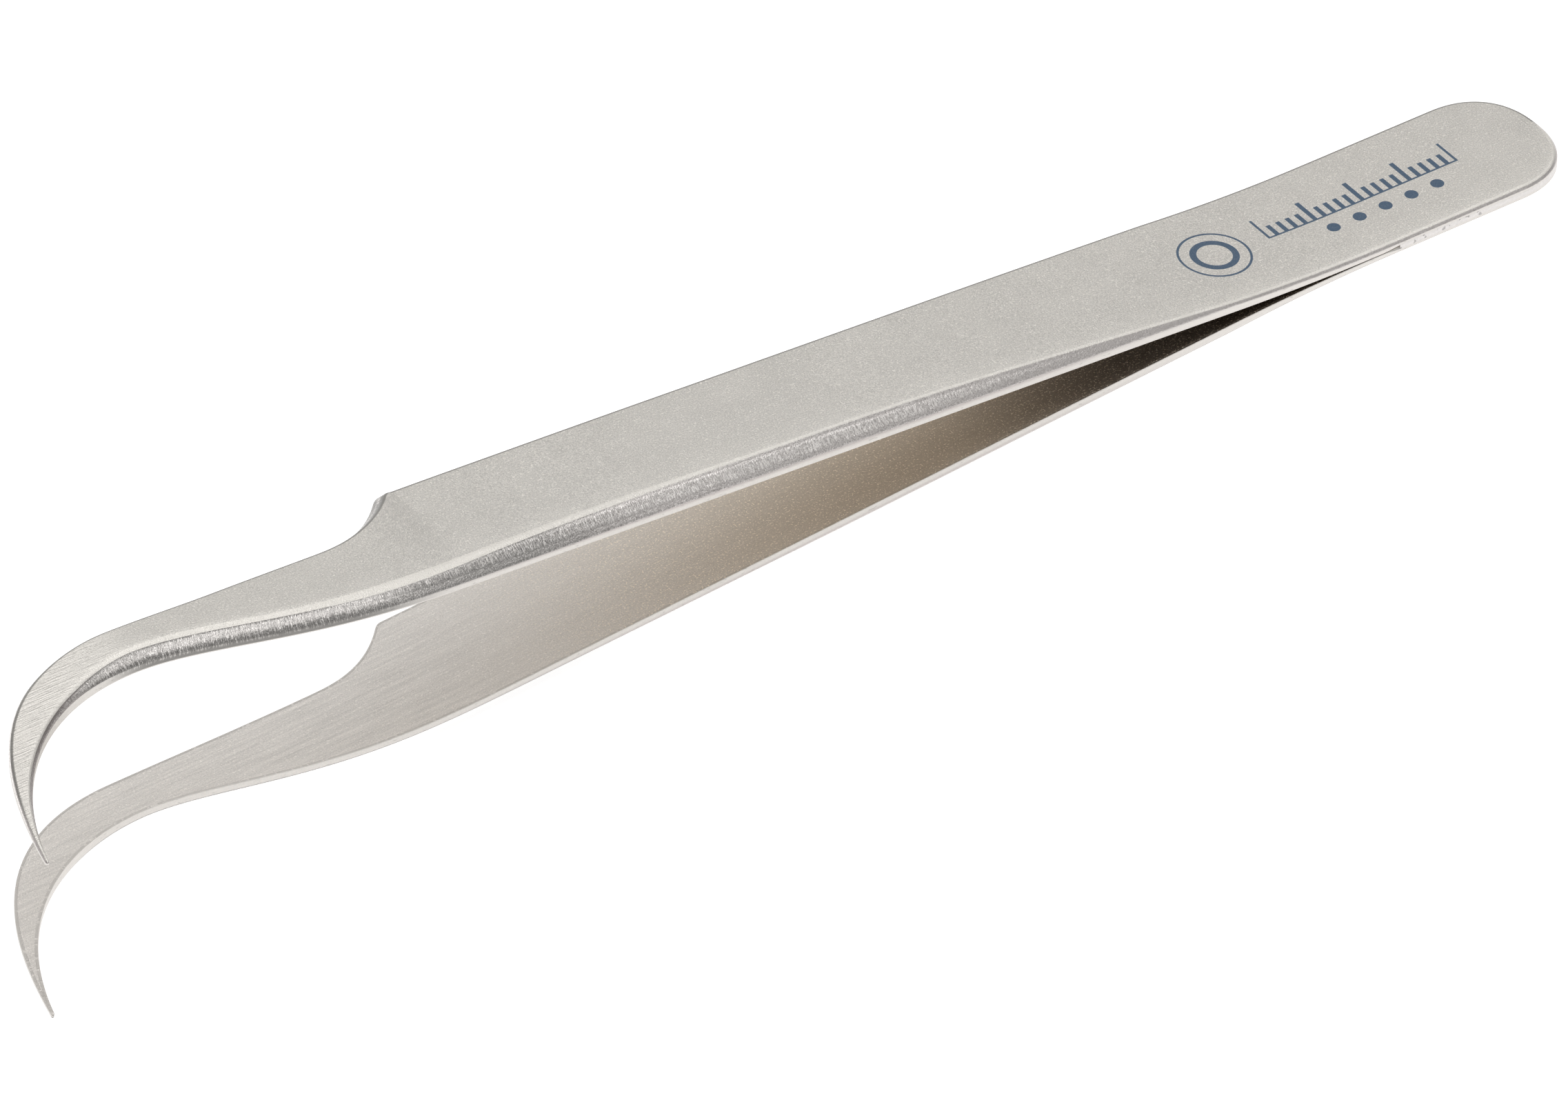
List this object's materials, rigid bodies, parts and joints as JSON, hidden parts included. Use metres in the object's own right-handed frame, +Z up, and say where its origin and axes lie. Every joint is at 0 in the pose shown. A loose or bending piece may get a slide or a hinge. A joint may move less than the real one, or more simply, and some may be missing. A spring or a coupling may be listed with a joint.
{
  "type": "precision tweezers",
  "caption": "Slim welded steel tweezers with flat sprung arms, a shouldered neck and fine points curved sideways for picking up very small parts.",
  "frame": {"origin": "on the bench under the middle of the tool's box as it lies on its lower arm", "axes": "+X along the tool towards the welded heel, -X towards the points, +Z up through the arms, the points hook towards -Y"},
  "size_m": [0.1202, 0.019, 0.0143],
  "materials": {
    "satin_steel": "fine bead-blasted satin stainless steel, ground bevels with fine cross marks",
    "weld_steel": "weld metal ground flush, slightly pitted"
  },
  "bodies": {
    "heel": {"upper_heel": "satin_steel", "lower_heel": "satin_steel", "heel_weld": "weld_steel"},
    "upper_arm": {"upper_arm": "satin_steel"},
    "lower_arm": {"lower_arm": "satin_steel"}
  },
  "joints": [
    {"name": "upper_arm_flex", "type": "hinge", "parent": "heel", "child": "upper_arm", "pos_m": [0.03614, 0.00456, 0.00261], "axis": [0, -1, 0], "range_deg": [0, 3.33], "stiffness_Nm_per_rad": 0.85},
    {"name": "lower_arm_flex", "type": "hinge", "parent": "heel", "child": "lower_arm", "pos_m": [0.03607, 0.00456, 0.00149], "axis": [0, 1, 0], "range_deg": [0, 3.33], "stiffness_Nm_per_rad": 0.85}
  ],
  "couplings": [
    {"joint": "lower_arm_flex", "follows": "upper_arm_flex", "ratio": 1}
  ]
}
